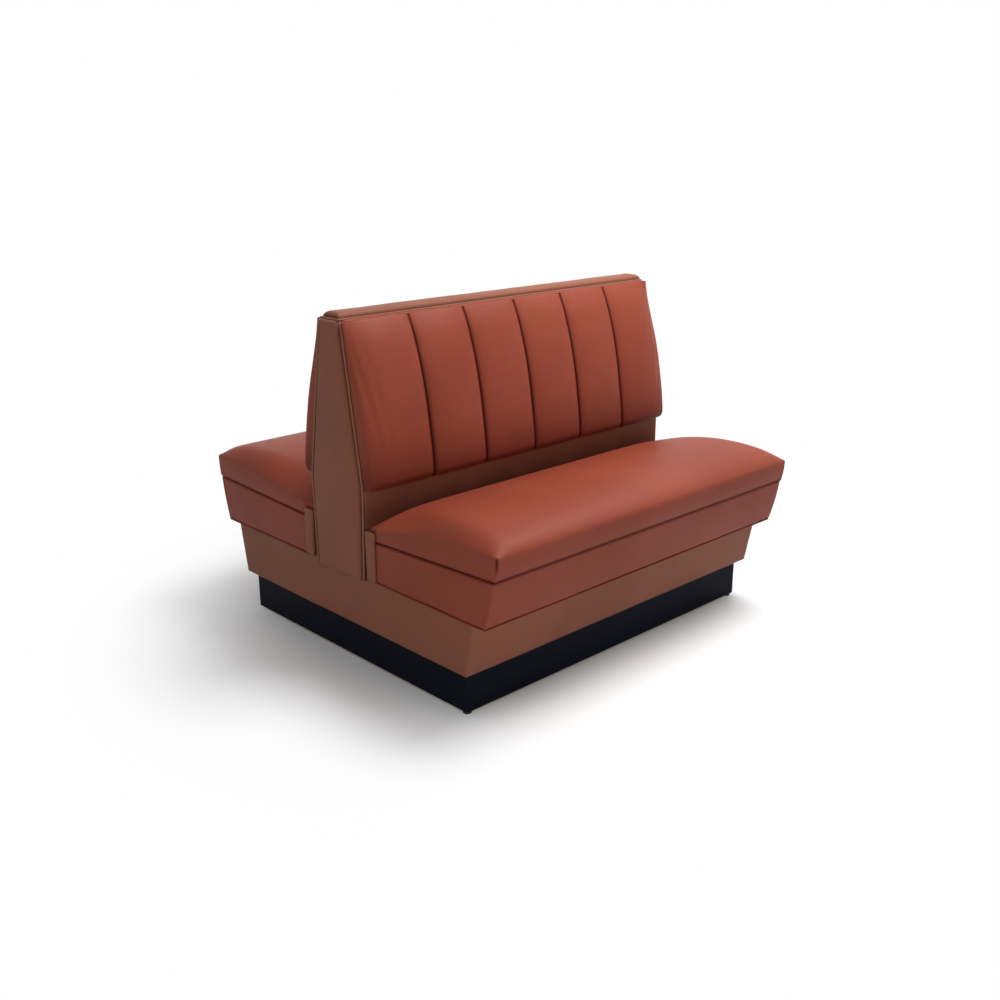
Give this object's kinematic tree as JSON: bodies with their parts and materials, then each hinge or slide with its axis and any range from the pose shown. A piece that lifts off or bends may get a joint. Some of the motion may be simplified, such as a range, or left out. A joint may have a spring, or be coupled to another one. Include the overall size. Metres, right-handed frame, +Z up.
{
  "type": "double restaurant booth",
  "caption": "Back-to-back upholstered restaurant booth: crowned bench cushions, channelled back pads, leaning end panels with piping, and a recessed black kick base.",
  "frame": {"origin": "on the floor, under the middle of the booth", "axes": "+X along the booth, +Z up; the front bench faces -Y and the rear bench +Y"},
  "size_m": [1.143, 1.1796, 0.9144],
  "materials": {
    "lumber": "planed softwood",
    "plywood": "sanded plywood",
    "black_laminate": "satin laminate",
    "steel": "zinc plated",
    "glide_nylon": "satin nylon over a steel stem",
    "red_vinyl": "grained upholstery vinyl, satin",
    "red_welt": "vinyl welt, satin",
    "dark_welt": "dark vinyl welt, satin",
    "brown_vinyl": "grained upholstery vinyl, satin",
    "brown_welt": "vinyl piping, satin",
    "foam": "open-cell foam"
  },
  "bodies": {
    "carcass": {"apron_ends_left": "red_vinyl", "apron_ends_right": "red_vinyl", "apron_front": "red_vinyl", "apron_lower_welts": "dark_welt", "apron_rear": "red_vinyl", "apron_upper_welts": "red_welt", "back_board_front": "plywood", "back_board_rear": "plywood", "back_pad_board_front": "plywood", "back_pad_board_rear": "plywood", "back_pad_cover_front": "red_vinyl", "back_pad_cover_rear": "red_vinyl", "back_pad_foam_front": "foam", "back_pad_foam_rear": "foam", "back_rails": "lumber", "body_cover_front": "brown_vinyl", "body_cover_rear": "brown_vinyl", "body_panel_front": "plywood", "body_panel_rear": "plywood", "bottom_deck": "plywood", "cap_board": "lumber", "cap_cover": "brown_vinyl", "cap_welt": "brown_welt", "crumb_strip_front": "brown_vinyl", "crumb_strip_rear": "brown_vinyl", "deck_screws": "steel", "end_cover_left": "brown_vinyl", "end_cover_right": "brown_vinyl", "end_fillers": "brown_vinyl", "end_frame_left": "plywood", "end_frame_right": "plywood", "end_panel_board_left": "plywood", "end_panel_board_right": "plywood", "end_panel_cover_left": "brown_vinyl", "end_panel_cover_right": "brown_vinyl", "end_panel_welts": "brown_welt", "glide_inserts": "steel", "kick_braces": "lumber", "kick_laminate": "black_laminate", "kick_rail_front": "lumber", "kick_rail_left": "lumber", "kick_rail_rear": "lumber", "kick_rail_right": "lumber", "middle_frame": "plywood", "overhang_boards": "plywood", "pad_screws": "steel", "seat_cleats": "lumber", "seat_rail_front": "plywood", "seat_rail_rear": "plywood", "top_rail": "lumber"},
    "seat_front": {"seat_board_front": "plywood", "seat_foam_front": "foam", "seat_cover_front": "red_vinyl"},
    "seat_rear": {"seat_board_rear": "plywood", "seat_foam_rear": "foam", "seat_cover_rear": "red_vinyl"},
    "glide_front_left": {"glide_front_left": "glide_nylon"},
    "glide_front_right": {"glide_front_right": "glide_nylon"},
    "glide_rear_left": {"glide_rear_left": "glide_nylon"},
    "glide_rear_right": {"glide_rear_right": "glide_nylon"}
  },
  "joints": [
    {"name": "seat_front_lift", "type": "slide", "parent": "carcass", "child": "seat_front", "axis": [0, -0.6, 0.8], "range_m": [0, 0.4]},
    {"name": "seat_rear_lift", "type": "slide", "parent": "carcass", "child": "seat_rear", "axis": [0, 0.6, 0.8], "range_m": [0, 0.4]},
    {"name": "glide_front_left_turn", "type": "hinge", "parent": "carcass", "child": "glide_front_left", "pos_m": [-0.525, -0.437, 0], "axis": [0, 0, 1], "continuous": true},
    {"name": "glide_front_right_turn", "type": "hinge", "parent": "carcass", "child": "glide_front_right", "pos_m": [0.525, -0.437, 0], "axis": [0, 0, 1], "continuous": true},
    {"name": "glide_rear_left_turn", "type": "hinge", "parent": "carcass", "child": "glide_rear_left", "pos_m": [-0.508, 0.437, 0], "axis": [0, 0, 1], "continuous": true},
    {"name": "glide_rear_right_turn", "type": "hinge", "parent": "carcass", "child": "glide_rear_right", "pos_m": [0.508, 0.437, 0], "axis": [0, 0, 1], "continuous": true}
  ]
}
